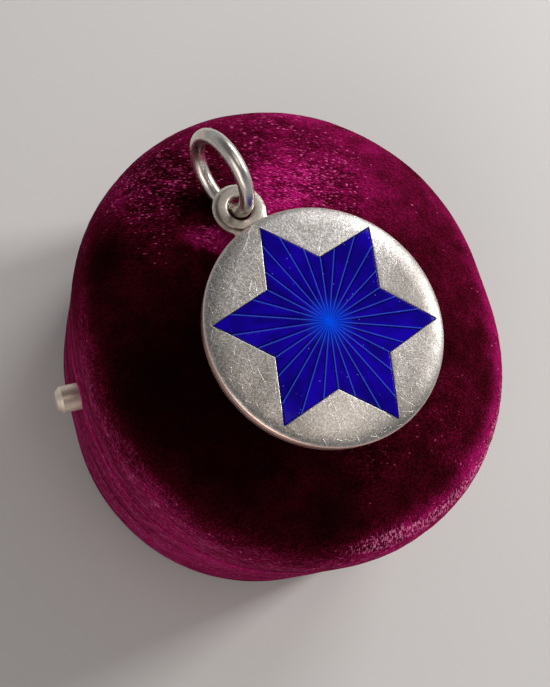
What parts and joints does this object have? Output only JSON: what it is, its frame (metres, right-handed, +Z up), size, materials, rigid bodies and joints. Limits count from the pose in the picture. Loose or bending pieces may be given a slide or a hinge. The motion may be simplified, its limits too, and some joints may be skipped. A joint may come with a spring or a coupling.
{
  "type": "star pendant on a velvet jewellery box",
  "caption": "Round silver pendant with a blue enamelled star and rays, eye and loose jump ring, lying on the hinged, domed lid of a small velvet box with a push button.",
  "frame": {"origin": "centre of the box's flat underside", "axes": "+Z up through the lid and the pendant, -Y towards the box's push button, +Y towards its hinge, +X along the box's longer side"},
  "size_m": [0.0544, 0.0543, 0.0422],
  "materials": {
    "velvet_base": "magenta-crimson velvet over board",
    "velvet_lid": "magenta-crimson velvet over a padded board",
    "hinge_metal": "plain rolled brass",
    "button_metal": "worn, polished pale brass",
    "silver_case": "satin silver with fine scratches",
    "silver_front": "satin silver with fine scratches and some tarnish",
    "blue_enamel": "glossy cobalt enamel over engraved rays",
    "silver_ring": "worn, polished silver"
  },
  "bodies": {
    "box_base": {"base": "velvet_base", "push_button": "button_metal", "hinge_base": "hinge_metal"},
    "box_lid": {"lid": "velvet_lid", "hinge_lid": "hinge_metal", "back_case": "silver_case", "front_plate": "silver_front", "enamel_star": "blue_enamel", "jump_ring": "silver_ring"}
  },
  "joints": [
    {"name": "lid_hinge", "type": "hinge", "parent": "box_base", "child": "box_lid", "pos_m": [0, 0.0258, 0.0179], "axis": [-1, 0, 0], "range_deg": [0, 95]}
  ]
}
